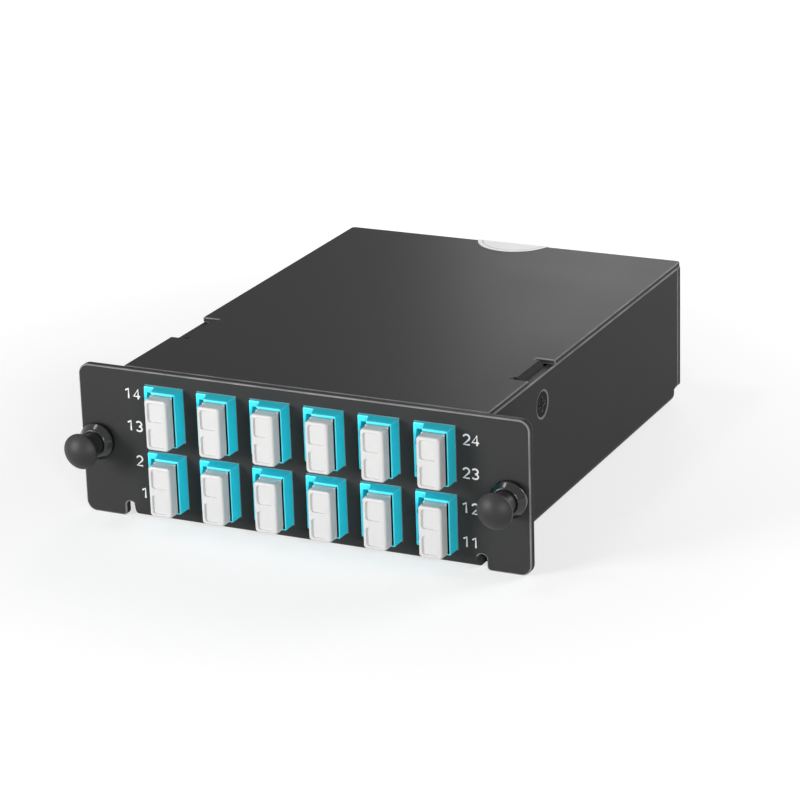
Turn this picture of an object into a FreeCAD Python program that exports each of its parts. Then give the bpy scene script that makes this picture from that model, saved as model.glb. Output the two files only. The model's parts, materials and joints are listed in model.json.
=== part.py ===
import FreeCAD, Part

import math
import os

import Sketcher

# Fibre cassette: a folded sheet case with twelve duplex fibre ports in front, two
# multi-fibre ports behind, the fibres between them, and two push-in latches in its ears.
# Lengths are in millimetres. X runs to the right and Z up, as seen from in front.
# Y runs back from the front face of the panel. The origin of the whole lies below its middle.

DIMENSIONS = {
    # Folded case
    "ear_wide": 10.35,
    "panel_corner": 2.5,
    "sheet_thick": 2.0,
    "bend_inside": 0.6,
    "case_side": 4.85,
    "case_deep": 117.9,
    "relief_wide": 2.2,
    "relief_high": 3.5,
    "relief_long": 4.5,
    "relief_round": 1.0,
    "fold_lap": 6.0,
    "corner_seam": 0.15,
    # Cover and its two side tabs
    "cover_drop": 0.15,
    "cover_thick": 1.2,
    "cover_seam": 0.5,
    "cover_round": 1.0,
    "tab_centre": 31.5,
    "tab_wide": 12.2,
    "tab_slit": 1.4,
    "tab_slit_deep": 4.4,
    "tab_down": 12.5,
    "tab_seam": 0.05,
    # Cover screws, countersunk
    "screw_down": 7.85,
    "screw_head": 2.95,
    "screw_shank": 1.5,
    "screw_long": 6.0,
    "screw_sink": 0.1,
    "screw_gap": 0.15,
    # Duplex adapters: two rows of columns
    "column_pitch": 13.1,
    "row_pitch": 15.6,
    "margin_low": 3.825,
    "margin_top": 3.125,
    "head_wide": 9.4,
    "head_high": 12.5,
    "head_deep": 3.9,
    "head_flush": 0.9,
    "head_slope": 1.0,
    "rim_thick": 0.65,
    "rim_side": 0.45,
    "rim_left": 1.2,
    "head_lap": 0.2,
    "neck_deep": 22.0,
    "cutout_gap": 0.05,
    "snap_out": 0.35,
    "snap_wide": 5.0,
    "snap_long": 3.5,
    # Ports of the adapters
    "port_side": 4.6,
    "port_pitch": 6.25,
    "port_shift": 1.35,
    "latch_wide": 3.6,
    "latch_deep": 3.1,
    "port_meet": 9.0,
    "port_web": 1.6,
    "barrel_radius": 1.65,
    "barrel_long": 11.6,
    "ferrule_play": 0.04,
    # Dust caps of the duplex ports
    "cap_play": 0.15,
    "cap_front": 6.8,
    "cap_corner": 0.75,
    "cap_edge": 0.4,
    "cap_seat": 0.05,
    "cap_dent_wide": 3.8,
    "cap_dent_high": 4.3,
    "cap_dent_pitch": 5.9,
    "cap_dent_deep": 0.4,
    "cap_dent_round": 0.6,
    "prong_gap": 0.1,
    "prong_short": 0.6,
    "prong_wall": 0.25,
    "prong_bore_deep": 5.6,
    # Duplex plugs behind the adapters
    "plug_gap": 0.05,
    "plug_short": 0.8,
    "plug_clip_gap": 0.6,
    "plug_clip_long": 4.4,
    "plug_wall": 0.3,
    "plug_bore_deep": 5.0,
    "ferrule_radius": 0.62,
    "ferrule_tip": 0.1,
    "lever_wide": 2.6,
    "lever_thick": 0.8,
    "lever_start": 12.5,
    "lever_long": 8.5,
    "lever_rise": 1.3,
    "plug_boot_long": 11.4,
    "plug_boot_start": 2.0,
    "plug_boot_end": 1.4,
    # Push-in latches
    "latch_out": 5.85,
    "ear_gap": 0.05,
    "grommet_foot": 3.9,
    "grommet_flange": 4.25,
    "flange_start": 0.9,
    "flange_thick": 0.8,
    "grommet_front": 3.1,
    "grommet_high": 3.2,
    "grommet_barrel": 3.45,
    "grommet_long": 4.1,
    "grommet_bore": 2.6,
    "grommet_stop": 1.2,
    "grommet_pocket": 2.9,
    "grommet_slot": 0.8,
    "grommet_slot_start": 0.4,
    "snap_ring": 0.25,
    "snap_ring_long": 0.6,
    "plunger_gap": 0.05,
    "plunger_head": 4.1,
    "plunger_under": 4.9,
    "plunger_rim": 0.6,
    "plunger_dome": 1.9,
    "plunger_bulb_long": 2.55,
    "plunger_tip_long": 1.2,
    "plunger_tip": 1.9,
    # Multi-fibre ports in the rear wall
    "rear_port_span": 44.0,
    "rear_flange_wide": 15.6,
    "rear_flange_high": 11.4,
    "rear_flange_thick": 1.6,
    "rear_body_wide": 13.0,
    "rear_body_high": 9.8,
    "rear_out": 9.0,
    "rear_in": 13.0,
    "rear_cavity_wide": 10.4,
    "rear_cavity_high": 7.6,
    "rear_web": 3.0,
    "rear_window_wide": 7.2,
    "rear_window_high": 3.2,
    "rear_cap_head_wide": 12.4,
    "rear_cap_head_high": 9.2,
    "rear_cap_head_long": 4.0,
    "rear_cap_nose": 6.0,
    "rear_cap_wall": 1.4,
    "ferrule_wide": 6.4,
    "ferrule_high": 2.5,
    "rear_nose_gap": 0.3,
    "sleeve_wide": 12.4,
    "sleeve_high": 9.2,
    "sleeve_long": 12.0,
    "rear_tail_wide": 9.0,
    "rear_tail_high": 6.6,
    "rear_tail_long": 4.6,
    "rear_boot_long": 14.0,
    "rear_boot_start": 3.4,
    "rear_boot_end": 2.0,
    # Fibres inside
    "trunk_radius": 1.4,
    "strand_radius": 0.8,
    "strand_pitch": 2.1,
    "strand_bend": 11.0,
    "strand_lead": 7.6,
    "block_wide": 14.0,
    "block_high": 5.0,
    "block_long": 18.0,
    "strand_room": 29.6,
    "block_shift": 2.5,
    "trunk_lead": 8.0,
    "loop_deep": 32.0,
    "loop_clear": 0.4,
    "loop_rise": 2.0,
    "loop_bend": 16.0,
    "turn_room": 11.9,
    "turn_bend": 7.0,
    "holder_wide": 22.0,
    "holder_long": 9.0,
    "holder_in": 5.0,
    "holder_slot_gap": 0.1,
    "holder_cap": 2.0,
    "holder_foot": 1.6,
    "holder_foot_wide": 30.0,
    # Seal folded over the rear top edge
    "seal_radius": 9.65,
    "seal_top": 7.1,
    "seal_thick": 0.1,
}

COLUMNS = 6
ROWS = 2
SIDES = (("left", -1), ("right", 1))


class Size:
    """A length that carries both its value and the expression over the sheet that gives it."""

    def __init__(self, value, text=None):
        self.value = float(value)
        self.text = text or "(%r)" % self.value

    def join(self, sign, other, value):
        return Size(value, "(%s %s %s)" % (self.text, sign, other.text))

    def __add__(self, other):
        other = as_size(other)
        return self.join("+", other, self.value + other.value)

    def __sub__(self, other):
        other = as_size(other)
        return self.join("-", other, self.value - other.value)

    def __mul__(self, other):
        other = as_size(other)
        return self.join("*", other, self.value * other.value)

    def __truediv__(self, other):
        other = as_size(other)
        return self.join("/", other, self.value / other.value)

    def __neg__(self):
        return self * -1


def as_size(number):
    return number if isinstance(number, Size) else Size(number)


class Sheet:
    """The spreadsheet of driving dimensions, read as attributes."""

    def __init__(self, document):
        self.cells = document.addObject("Spreadsheet::Sheet", "sizes")
        for row, (name, value) in enumerate(DIMENSIONS.items(), start=1):
            self.cells.set("A%d" % row, name)
            self.cells.set("B%d" % row, str(value))
            self.cells.setAlias("B%d" % row, name)
        document.recompute()

    def __getattr__(self, name):
        return Size(self.cells.get(name), "sizes.%s" % name)


doc = FreeCAD.newDocument("fibre_cassette")
s = Sheet(doc)
subparts = []


# Sub-parts and their places

def new_body(name):
    body = doc.addObject("PartDesign::Body", name)
    body.Label = name
    return body


def bind(item, key, size):
    """Sets a property of an object from the sheet."""
    item.setExpression(key, as_size(size).text)


def place(subpart, x=0, y=0, z=0):
    """Puts a sub-part y behind the front face of the panel, in the frame of the whole."""
    for axis, size in zip("xyz", (x, -middle_depth + y, z)):
        bind(subpart, ".Placement.Base." + axis, size)


def keep(subpart):
    subparts.append(subpart)
    return subpart


def linked_copy(original, name):
    """A further copy of a repeated sub-part."""
    copy = doc.addObject("App::Link", name)
    copy.LinkedObject = original
    copy.Label = name
    return keep(copy)


# Sketches

def new_sketch(body, name, role, offset=0, shift=(0, 0)):
    """A sketch on one of the body's origin planes, moved along Y, Z or X by offset."""
    sketch = body.newObject("Sketcher::SketchObject", name)
    plane = [item for item in body.Origin.OriginFeatures if item.Role == role][0]
    sketch.AttachmentSupport = [(plane, "")]
    sketch.MapMode = "FlatFace"
    along = -as_size(offset) if role == "XZ_Plane" else offset
    for axis, size in zip("xyz", (*shift, along)):
        bind(sketch, ".AttachmentOffset.Base." + axis, size)
    sketch.Visibility = False
    return sketch


def vector(point):
    return FreeCAD.Vector(point[0].value, point[1].value, 0)


def constrain(sketch, kind, *terms):
    return sketch.addConstraint(Sketcher.Constraint(kind, *terms))


def fix_size(sketch, kind, size, *terms):
    """A dimension of the sketch that follows the sheet."""
    index = constrain(sketch, kind, *terms, size.value)
    bind(sketch, "Constraints[%d]" % index, size)


def fix_point(sketch, curve, end, point):
    """Ties one end or centre of a curve to its two sizes."""
    fix_size(sketch, "DistanceX", point[0], -1, 1, curve, end)
    fix_size(sketch, "DistanceY", point[1], -1, 1, curve, end)


def step_towards(corner, neighbour):
    """Where a corner's rounding meets the square side that runs to its neighbour."""
    if len(corner) == 2:
        return corner
    x, y, radius = corner
    run_x = neighbour[0].value - x.value
    run_y = neighbour[1].value - y.value
    if abs(run_x) > abs(run_y):
        return (x + radius if run_x > 0 else x - radius, y)
    return (x, y + radius if run_y > 0 else y - radius)


def add_arc(sketch, centre, radius, start, end):
    """The short arc from start to end. Returns it and which of its ends is the start."""
    circle = Part.Circle(vector(centre), FreeCAD.Vector(0, 0, 1), radius.value)
    first, last = circle.parameter(vector(start)), circle.parameter(vector(end))
    forward = (last - first) % (2 * math.pi) < math.pi
    if not forward:
        first, last = last, first
    arc = sketch.addGeometry(Part.ArcOfCircle(circle, first, last), False)
    fix_size(sketch, "Radius", radius, arc)
    return arc, (1, 2) if forward else (2, 1)


def outline(sketch, corners):
    """Draws a closed outline of straight sides.

    A corner is (x, y) or, between two square sides, (x, y, rounding).
    """
    corners = [tuple(as_size(term) for term in corner) for corner in corners]
    following = corners[1:] + corners[:1]
    previous = corners[-1:] + corners[:-1]
    starts = [step_towards(corner, other) for corner, other in zip(corners, following)]
    ends = [step_towards(corner, other) for corner, other in zip(corners, previous)]
    sides = []
    for number, start in enumerate(starts):
        end = ends[(number + 1) % len(corners)]
        side = sketch.addGeometry(Part.LineSegment(vector(start), vector(end)), False)
        fix_point(sketch, side, 1, start)
        sides.append(side)
    for number, corner in enumerate(corners):
        before, after = sides[number - 1], sides[number]
        if len(corner) == 2:
            constrain(sketch, "Coincident", before, 2, after, 1)
            continue
        fix_point(sketch, before, 2, ends[number])
        centre = (ends[number][0] + starts[number][0] - corner[0],
                  ends[number][1] + starts[number][1] - corner[1])
        arc, (first, last) = add_arc(sketch, centre, corner[2], ends[number], starts[number])
        constrain(sketch, "Coincident", arc, first, before, 2)
        constrain(sketch, "Coincident", arc, last, after, 1)


def ring(sketch, x, y, radius):
    x, y, radius = as_size(x), as_size(y), as_size(radius)
    circle = Part.Circle(vector((x, y)), FreeCAD.Vector(0, 0, 1), radius.value)
    index = sketch.addGeometry(circle, False)
    fix_point(sketch, index, 3, (x, y))
    fix_size(sketch, "Radius", radius, index)


def box_corners(x, y, wide, high, *rounding):
    """A rectangle about its middle."""
    x, y, wide, high = as_size(x), as_size(y), as_size(wide), as_size(high)
    left, right = x - wide / 2, x + wide / 2
    low, top = y - high / 2, y + high / 2
    return [(left, low, *rounding), (right, low, *rounding),
            (right, top, *rounding), (left, top, *rounding)]


# Features. Each runs back, up or to the right from where it starts

def shaped(kind, body, name, sketch, length, reverse):
    item = body.newObject("PartDesign::" + kind, name)
    item.Profile = (sketch, [""])
    item.Reversed = reverse
    bind(item, "Length", length)
    return item


def drawn(body, name, role, start, outlines):
    sketch = new_sketch(body, name + "_sketch", role, start)
    for corners in outlines:
        outline(sketch, corners)
    return sketch


def pad_back(body, name, start, length, *outlines):
    return shaped("Pad", body, name, drawn(body, name, "XZ_Plane", start, outlines), length, True)


def cut_back(body, name, start, length, *outlines):
    return shaped("Pocket", body, name, drawn(body, name, "XZ_Plane", start, outlines), length, False)


def pad_up(body, name, start, length, *outlines):
    return shaped("Pad", body, name, drawn(body, name, "XY_Plane", start, outlines), length, False)


def pad_across(body, name, start, length, *outlines):
    return shaped("Pad", body, name, drawn(body, name, "YZ_Plane", start, outlines), length, False)


def rods(kind, body, name, role, start, length, *circles):
    """Round rods or holes, each an (x, y, radius) in the sketch."""
    sketch = new_sketch(body, name + "_sketch", role, start)
    for circle in circles:
        ring(sketch, *circle)
    backwards = role == "XZ_Plane"
    return shaped(kind, body, name, sketch, length, backwards == (kind == "Pad"))


def turned(kind, body, name, sketch, axis):
    item = body.newObject("PartDesign::" + kind, name)
    item.Profile = (sketch, [""])
    item.ReferenceAxis = (sketch, [axis])
    item.Angle = 360
    return item


def turned_back(kind, body, name, corners, shift=(0, 0)):
    """Turns an outline of (radius, depth) corners about a line that runs back."""
    sketch = new_sketch(body, name + "_sketch", "XY_Plane", 0, shift)
    outline(sketch, corners)
    return turned(kind, body, name, sketch, "V_Axis")


def turned_across(kind, body, name, corners, depth, height):
    """Turns an outline of (across, radius) corners about a line that runs across."""
    sketch = new_sketch(body, name + "_sketch", "XY_Plane", height, (0, depth))
    outline(sketch, corners)
    return turned(kind, body, name, sketch, "H_Axis")


def chamfer(body, name, size, wanted):
    """Chamfers the edges of the body that wanted picks by their middle point."""
    doc.recompute()
    base = body.Tip
    edges = []
    for number, edge in enumerate(base.Shape.Edges, start=1):
        if wanted(edge.CenterOfMass):
            edges.append("Edge%d" % number)
    item = body.newObject("PartDesign::Chamfer", name)
    item.Base = (base, edges)
    bind(item, "Size", size)


# Places that several pieces share

half_case = s.column_pitch * COLUMNS / 2 + s.case_side
half_panel = half_case + s.ear_wide
panel_high = s.row_pitch * (ROWS - 1) + s.head_high + s.margin_low + s.margin_top
row_middle = panel_high / 2
bend_outside = s.bend_inside + s.sheet_thick
fold_half = half_case - s.relief_wide
cover_top = panel_high - s.cover_drop
wall_top = cover_top - s.cover_thick
rear_inside = s.case_deep - s.sheet_thick
latch_place = half_case + s.latch_out
screw_height = cover_top - s.screw_down
neck_wide = s.head_wide - s.head_lap * 2
neck_high = s.head_high - s.head_lap * 2
recess_right = s.head_wide / 2 - s.rim_side
recess_high = s.head_high / 2 - s.rim_thick
web_start = s.port_meet - s.port_web / 2
web_end = s.port_meet + s.port_web / 2
prong_end = web_start - s.prong_short
plug_side = s.port_side - s.plug_gap * 2
plug_front = web_end + s.plug_short
plug_clip_start = s.neck_deep + s.plug_clip_gap
plug_clip_end = plug_clip_start + s.plug_clip_long
plug_end = plug_clip_end + s.plug_boot_long
cap_seat = -s.cap_seat - s.head_flush
rear_meet = s.case_deep - s.sheet_thick / 2
rear_start = s.case_deep - s.rear_in
rear_end = s.case_deep + s.rear_out
rear_plug_end = rear_start - s.rear_nose_gap - s.sleeve_long - s.rear_tail_long - s.rear_boot_long
block_front = plug_end + s.strand_room
loop_side = s.rear_port_span / 2 - s.sleeve_wide / 2 - s.trunk_radius - s.loop_clear
knob_front = -s.grommet_high - s.plunger_under - s.plunger_rim - s.plunger_dome
rear_cap_end = rear_end + s.cap_seat + s.rear_cap_head_long
middle_depth = (knob_front + rear_cap_end) / 2


def column_place(column):
    return s.column_pitch * (column - (COLUMNS - 1) / 2)


def row_place(row):
    return s.margin_low + s.head_high / 2 + s.row_pitch * row


def port_places():
    """Heights of the two ports of an adapter about its middle."""
    return [s.port_pitch * side / 2 for _, side in SIDES]


# Case: floor, walls, panel and rear wall folded from one sheet

def make_tray():
    body = keep(new_body("case_tray"))
    walls_start = s.sheet_thick + s.corner_seam
    inner = half_case - s.sheet_thick
    pad_back(body, "floor_and_walls", walls_start, s.case_deep - walls_start * 2, [
        (-half_case, 0, bend_outside), (half_case, 0, bend_outside),
        (half_case, wall_top), (inner, wall_top),
        (inner, s.sheet_thick, s.bend_inside), (-inner, s.sheet_thick, s.bend_inside),
        (-inner, wall_top), (-half_case, wall_top)])
    cut_corner_reliefs(body, walls_start)
    lap = s.relief_long + s.fold_lap
    pad_across(body, "front_fold", -fold_half, fold_half * 2, [
        (0, 0, bend_outside), (lap, 0), (lap, s.sheet_thick),
        (s.sheet_thick, s.sheet_thick, s.bend_inside),
        (s.sheet_thick, row_middle), (0, row_middle)])
    pad_across(body, "rear_fold", -fold_half, fold_half * 2, [
        (s.case_deep, 0, bend_outside), (s.case_deep, row_middle), (rear_inside, row_middle),
        (rear_inside, s.sheet_thick, s.bend_inside),
        (s.case_deep - lap, s.sheet_thick), (s.case_deep - lap, 0)])
    pad_back(body, "panel", 0, s.sheet_thick, panel_outline())
    pad_back(body, "rear_wall", rear_inside, s.sheet_thick, [
        (-half_case, s.relief_high), (half_case, s.relief_high),
        (half_case, wall_top), (-half_case, wall_top)])
    cut_openings(body)


def cut_corner_reliefs(body, walls_start):
    """Clears the four bottom corners, where two bends would meet."""
    spans = [box_corners((fold_half + s.relief_wide) * side, s.relief_high / 2,
                         s.relief_wide * 2, s.relief_high) for _, side in SIDES]
    depth = s.relief_long - walls_start
    cut_back(body, "front_reliefs", walls_start, depth, *spans)
    cut_back(body, "rear_reliefs", s.case_deep - s.relief_long, depth, *spans)


def panel_outline():
    """The panel with its two ears. Between the reliefs its foot is the fold."""
    half = half_panel
    return [
        (-half, 0, s.panel_corner), (-half_case, 0, s.relief_round),
        (-half_case, s.relief_high, s.relief_round), (-fold_half, s.relief_high, s.relief_round),
        (-fold_half, bend_outside), (fold_half, bend_outside),
        (fold_half, s.relief_high, s.relief_round), (half_case, s.relief_high, s.relief_round),
        (half_case, 0, s.relief_round), (half, 0, s.panel_corner),
        (half, panel_high, s.panel_corner), (-half, panel_high, s.panel_corner)]


def cut_openings(body):
    """Cut-outs for the adapters, the latches, the rear ports and the cover screws."""
    play = s.cutout_gap * 2
    cut_back(body, "adapter_cutouts", 0, s.sheet_thick,
             *[box_corners(column_place(column), row_place(row), neck_wide + play, neck_high + play)
               for row in range(ROWS) for column in range(COLUMNS)])
    rods("Pocket", body, "ear_holes", "XZ_Plane", 0, s.sheet_thick,
         *[(latch_place * side, row_middle, s.grommet_barrel + s.ear_gap) for _, side in SIDES])
    cut_back(body, "rear_port_cutouts", rear_inside, s.sheet_thick,
             *[box_corners(s.rear_port_span * side / 2, row_middle,
                           s.rear_body_wide + play, s.rear_body_high + play) for _, side in SIDES])
    for name, side in SIDES:
        face = half_case * side
        inside = face - s.sheet_thick * side
        hole = s.screw_shank + s.screw_gap
        mouth = s.screw_head + s.screw_gap
        turned_across("Groove", body, name + "_screw_seat", [
            (face, 0), (face, mouth), (face - (mouth - hole) * side, hole), (inside, hole),
            (inside, 0)], s.tab_centre, screw_height)
    place(body)


# Cover: a plate that rests on the walls, with a tab bent down inside each side wall

def make_cover():
    body = keep(new_body("cover"))
    near, far = s.tab_centre - s.tab_wide / 2, s.tab_centre + s.tab_wide / 2
    tab_face = half_case - s.sheet_thick - s.tab_seam
    tab_root = tab_face - s.cover_thick

    def bite(side):
        """The notch in one side edge, with a slit beyond each end of the tab."""
        edge, root, tip = half_case * side, tab_root * side, (half_case - s.tab_slit_deep) * side
        before, after = near - s.tab_slit, far + s.tab_slit
        return [(edge, before), (tip, before), (tip, near), (root, near),
                (root, far), (tip, far), (tip, after), (edge, after)]

    front = s.sheet_thick + s.cover_seam
    pad_up(body, "plate", wall_top, s.cover_thick, [
        (-half_case, front), (half_case, front), *bite(1),
        (half_case, s.case_deep, s.cover_round), (-half_case, s.case_deep, s.cover_round),
        *bite(-1)[::-1]])
    for name, side in SIDES:
        outer, inner = tab_face * side, tab_root * side
        pad_back(body, name + "_tab", near, s.tab_wide, [
            (inner - s.cover_thick * side, cover_top),
            (outer, cover_top, s.bend_inside + s.cover_thick), (outer, cover_top - s.tab_down),
            (inner, cover_top - s.tab_down), (inner, wall_top, s.bend_inside),
            (inner - s.cover_thick * side, wall_top)])
        rods("Pocket", body, name + "_thread", "YZ_Plane", inner if side > 0 else outer,
             s.cover_thick, (s.tab_centre, screw_height, s.screw_shank))
    place(body)


def make_cover_screws():
    """Two countersunk screws, one through each side wall into the cover's tab."""
    screws = []
    for name, side in SIDES:
        body = new_body("cover_screw_" + name)
        face = (half_case - s.screw_sink) * side
        under = face - (s.screw_head - s.screw_shank) * side
        turned_across("Revolution", body, "screw_" + name, [
            (face, 0), (face, s.screw_head), (under, s.screw_shank),
            (face - s.screw_long * side, s.screw_shank), (face - s.screw_long * side, 0)],
            s.tab_centre, screw_height)
        place(body)
        screws.append(body)
    group = keep(doc.addObject("Part::Compound", "cover_screws"))
    group.Links = screws


# Duplex adapters. Each one is drawn about the middle of its cut-out, on the panel's front face

def port_outline(height):
    """A square port with the slot for a plug's latch on its left."""
    left, right = s.port_shift - s.port_side / 2, s.port_shift + s.port_side / 2
    slot = left - s.latch_deep
    low, top = height - s.port_side / 2, height + s.port_side / 2
    slot_low, slot_top = height - s.latch_wide / 2, height + s.latch_wide / 2
    return [(slot, slot_low), (left, slot_low), (left, low), (right, low),
            (right, top), (left, top), (left, slot_top), (slot, slot_top)]


def make_adapters():
    body = new_body("adapter_01")
    half_wide, half_high = s.head_wide / 2, s.head_high / 2
    pad_back(body, "flush_plate", -s.head_flush, s.head_flush,
             box_corners(0, 0, s.head_wide, s.head_high))
    pad_up(body, "raised_frame", -half_high, s.head_high, [
        (-s.rim_left, -s.head_deep), (half_wide, -s.head_deep), (half_wide, -s.head_flush),
        (-s.rim_left - s.head_slope, -s.head_flush)])
    cut_back(body, "frame_recess", -s.head_deep, s.head_deep - s.head_flush, [
        (-half_wide, -recess_high), (recess_right, -recess_high),
        (recess_right, recess_high), (-half_wide, recess_high)])
    pad_back(body, "neck", 0, s.neck_deep, box_corners(0, 0, neck_wide, neck_high))
    ports = [port_outline(height) for height in port_places()]
    cut_back(body, "front_ports", -s.head_flush, web_start + s.head_flush, *ports)
    cut_back(body, "rear_ports", web_end, s.neck_deep - web_end, *ports)
    barrels_start = s.port_meet - s.barrel_long / 2
    for kind, name, radius in (("Pad", "sleeve_barrels", s.barrel_radius),
                               ("Pocket", "sleeve_bores", s.ferrule_radius + s.ferrule_play)):
        rods(kind, body, name, "XZ_Plane", barrels_start, s.barrel_long,
             *[(s.port_shift, height, radius) for height in port_places()])
    for name, side in SIDES:
        wall = neck_wide * side / 2
        start = s.sheet_thick + s.cutout_gap
        pad_up(body, name + "_snap", -s.snap_wide / 2, s.snap_wide, [
            (wall, start), (wall + s.snap_out * side, start), (wall, start + s.snap_long)])
    repeat_over_panel(body, "adapter")


def repeat_over_panel(body, family):
    """Puts one piece at each port pair, the bottom row first, from left to right."""
    for row in range(ROWS):
        for column in range(COLUMNS):
            number = row * COLUMNS + column + 1
            name = "%s_%02d" % (family, number)
            piece = keep(body) if number == 1 else linked_copy(body, name)
            place(piece, column_place(column), 0, row_place(row))


# Dust caps of the duplex ports, drawn about the same point as the adapters

def make_dust_caps():
    """A cap whose foot fills the raised frame and whose grip laps over the frame's lower rim."""
    body = new_body("dust_cap_01")
    wide, top = (recess_right - s.cap_play - s.port_shift) * 2, recess_high - s.cap_play
    low = -s.head_high / 2
    front, lap = -s.cap_front, -s.head_deep - s.cap_seat
    middle_high = (top + low) / 2
    pad_back(body, "grip", front, lap - front,
             box_corners(s.port_shift, middle_high, wide, top - low, s.cap_corner))
    pad_back(body, "foot", lap, cap_seat - lap, box_corners(s.port_shift, 0, wide, top * 2))
    chamfer(body, "grip_edges", s.cap_edge,
            lambda middle: abs(middle.y - front.value) < 1e-6)
    cut_back(body, "grip_dents", front, s.cap_dent_deep,
             *[box_corners(s.port_shift, middle_high + s.cap_dent_pitch * side / 2,
                           s.cap_dent_wide, s.cap_dent_high, s.cap_dent_round) for _, side in SIDES])
    prong = s.port_side - s.prong_gap * 2
    pad_back(body, "prongs", cap_seat, prong_end - cap_seat,
             *[box_corners(s.port_shift, height, prong, prong) for height in port_places()])
    rods("Pocket", body, "prong_bores", "XZ_Plane", prong_end - s.prong_bore_deep, s.prong_bore_deep,
         *[(s.port_shift, height, prong / 2 - s.prong_wall) for height in port_places()])
    repeat_over_panel(body, "dust_cap")


# Duplex plugs that feed the adapters from inside, drawn about the same point

def make_duplex_plugs():
    body = new_body("duplex_plug_01")
    pad_back(body, "plug_bodies", plug_front, plug_clip_end - plug_front,
             *[box_corners(s.port_shift, height, plug_side, plug_side) for height in port_places()])
    pad_back(body, "shared_clip", plug_clip_start, s.plug_clip_long,
             box_corners(s.port_shift, 0, plug_side, s.port_pitch + plug_side))
    rods("Pocket", body, "plug_mouths", "XZ_Plane", plug_front, s.plug_bore_deep,
         *[(s.port_shift, height, plug_side / 2 - s.plug_wall) for height in port_places()])
    tip = s.port_meet + s.ferrule_tip
    rods("Pad", body, "ferrules", "XZ_Plane", tip, plug_front + s.plug_bore_deep - tip,
         *[(s.port_shift, height, s.ferrule_radius) for height in port_places()])
    for height, name in zip(port_places(), ("lower", "upper")):
        root = s.port_shift - plug_side / 2
        end = s.lever_start + s.lever_long
        pad_up(body, name + "_lever", height - s.lever_wide / 2, s.lever_wide, [
            (root, s.lever_start), (root, s.lever_start + s.lever_thick),
            (root - s.lever_rise, end), (root - s.lever_rise - s.lever_thick, end)])
    turned_back("Revolution", body, "boot", [
        (0, plug_clip_end), (s.plug_boot_start, plug_clip_end), (s.plug_boot_end, plug_end),
        (0, plug_end)], (s.port_shift, 0))
    repeat_over_panel(body, "duplex_plug")


# Push-in latches: a split grommet in each ear and the plunger that spreads it

def make_grommets():
    body = keep(new_body("grommet_left"))
    lip = s.sheet_thick + s.cutout_gap
    stop = -s.grommet_high + s.grommet_stop
    turned_back("Revolution", body, "barrel_and_flange", [
        (s.grommet_bore, -s.grommet_high), (s.grommet_front, -s.grommet_high),
        (s.grommet_flange, -s.flange_start - s.flange_thick), (s.grommet_flange, -s.flange_start),
        (s.grommet_foot, 0), (s.grommet_barrel, 0),
        (s.grommet_barrel, lip), (s.grommet_barrel + s.snap_ring, lip),
        (s.grommet_barrel, lip + s.snap_ring_long), (s.grommet_barrel, s.grommet_long),
        (s.grommet_pocket, s.grommet_long), (s.grommet_pocket, stop), (s.grommet_bore, stop)])
    across = (s.grommet_barrel + s.snap_ring) * 2
    slots = {"level_slot": (across, s.grommet_slot), "upright_slot": (s.grommet_slot, across)}
    for name, size in slots.items():
        cut_back(body, name, s.grommet_slot_start, s.grommet_long - s.grommet_slot_start,
                 box_corners(0, 0, *size))
    place(body, -latch_place, 0, row_middle)
    place(linked_copy(body, "grommet_right"), latch_place, 0, row_middle)


def make_plungers():
    """A domed knob on a stem. Its bulb rests on the stop inside the grommet when it is out."""
    body = keep(new_body("plunger_left"))
    under = -s.grommet_high - s.plunger_under
    rim = under - s.plunger_rim
    stem = s.grommet_bore - s.plunger_gap
    bulb = s.grommet_pocket - s.plunger_gap
    bulb_start = -s.grommet_high + s.grommet_stop + s.plunger_gap
    bulb_end = bulb_start + s.plunger_bulb_long
    turned_back("Revolution", body, "rim_and_stem", [
        (0, rim), (s.plunger_head, rim), (s.plunger_head, under), (stem, under),
        (stem, bulb_start), (bulb, bulb_start), (bulb, bulb_end),
        (s.plunger_tip, bulb_end + s.plunger_tip_long), (0, bulb_end + s.plunger_tip_long)])
    sketch = new_sketch(body, "dome_sketch", "XY_Plane")
    draw_dome(sketch, rim, s.plunger_head, s.plunger_dome)
    turned("Revolution", body, "dome", sketch, "V_Axis")
    place(body, -latch_place, 0, row_middle)
    place(linked_copy(body, "plunger_right"), latch_place, 0, row_middle)


def draw_dome(sketch, base, radius, high):
    """Half the section of a dome that rises forwards from its base."""
    bend = (radius * radius + high * high) / (high * 2)
    middle, tip, edge = (as_size(0), base), (as_size(0), base - high), (radius, base)
    centre = (as_size(0), base - high + bend)
    upright = sketch.addGeometry(Part.LineSegment(vector(tip), vector(middle)), False)
    level = sketch.addGeometry(Part.LineSegment(vector(middle), vector(edge)), False)
    fix_point(sketch, upright, 1, tip)
    fix_point(sketch, level, 1, middle)
    fix_point(sketch, level, 2, edge)
    constrain(sketch, "Coincident", upright, 2, level, 1)
    arc, (first, last) = add_arc(sketch, centre, bend, edge, tip)
    constrain(sketch, "Coincident", arc, first, level, 2)
    constrain(sketch, "Coincident", arc, last, upright, 1)


# Rear ports, drawn about the middle of their cut-out

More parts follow.
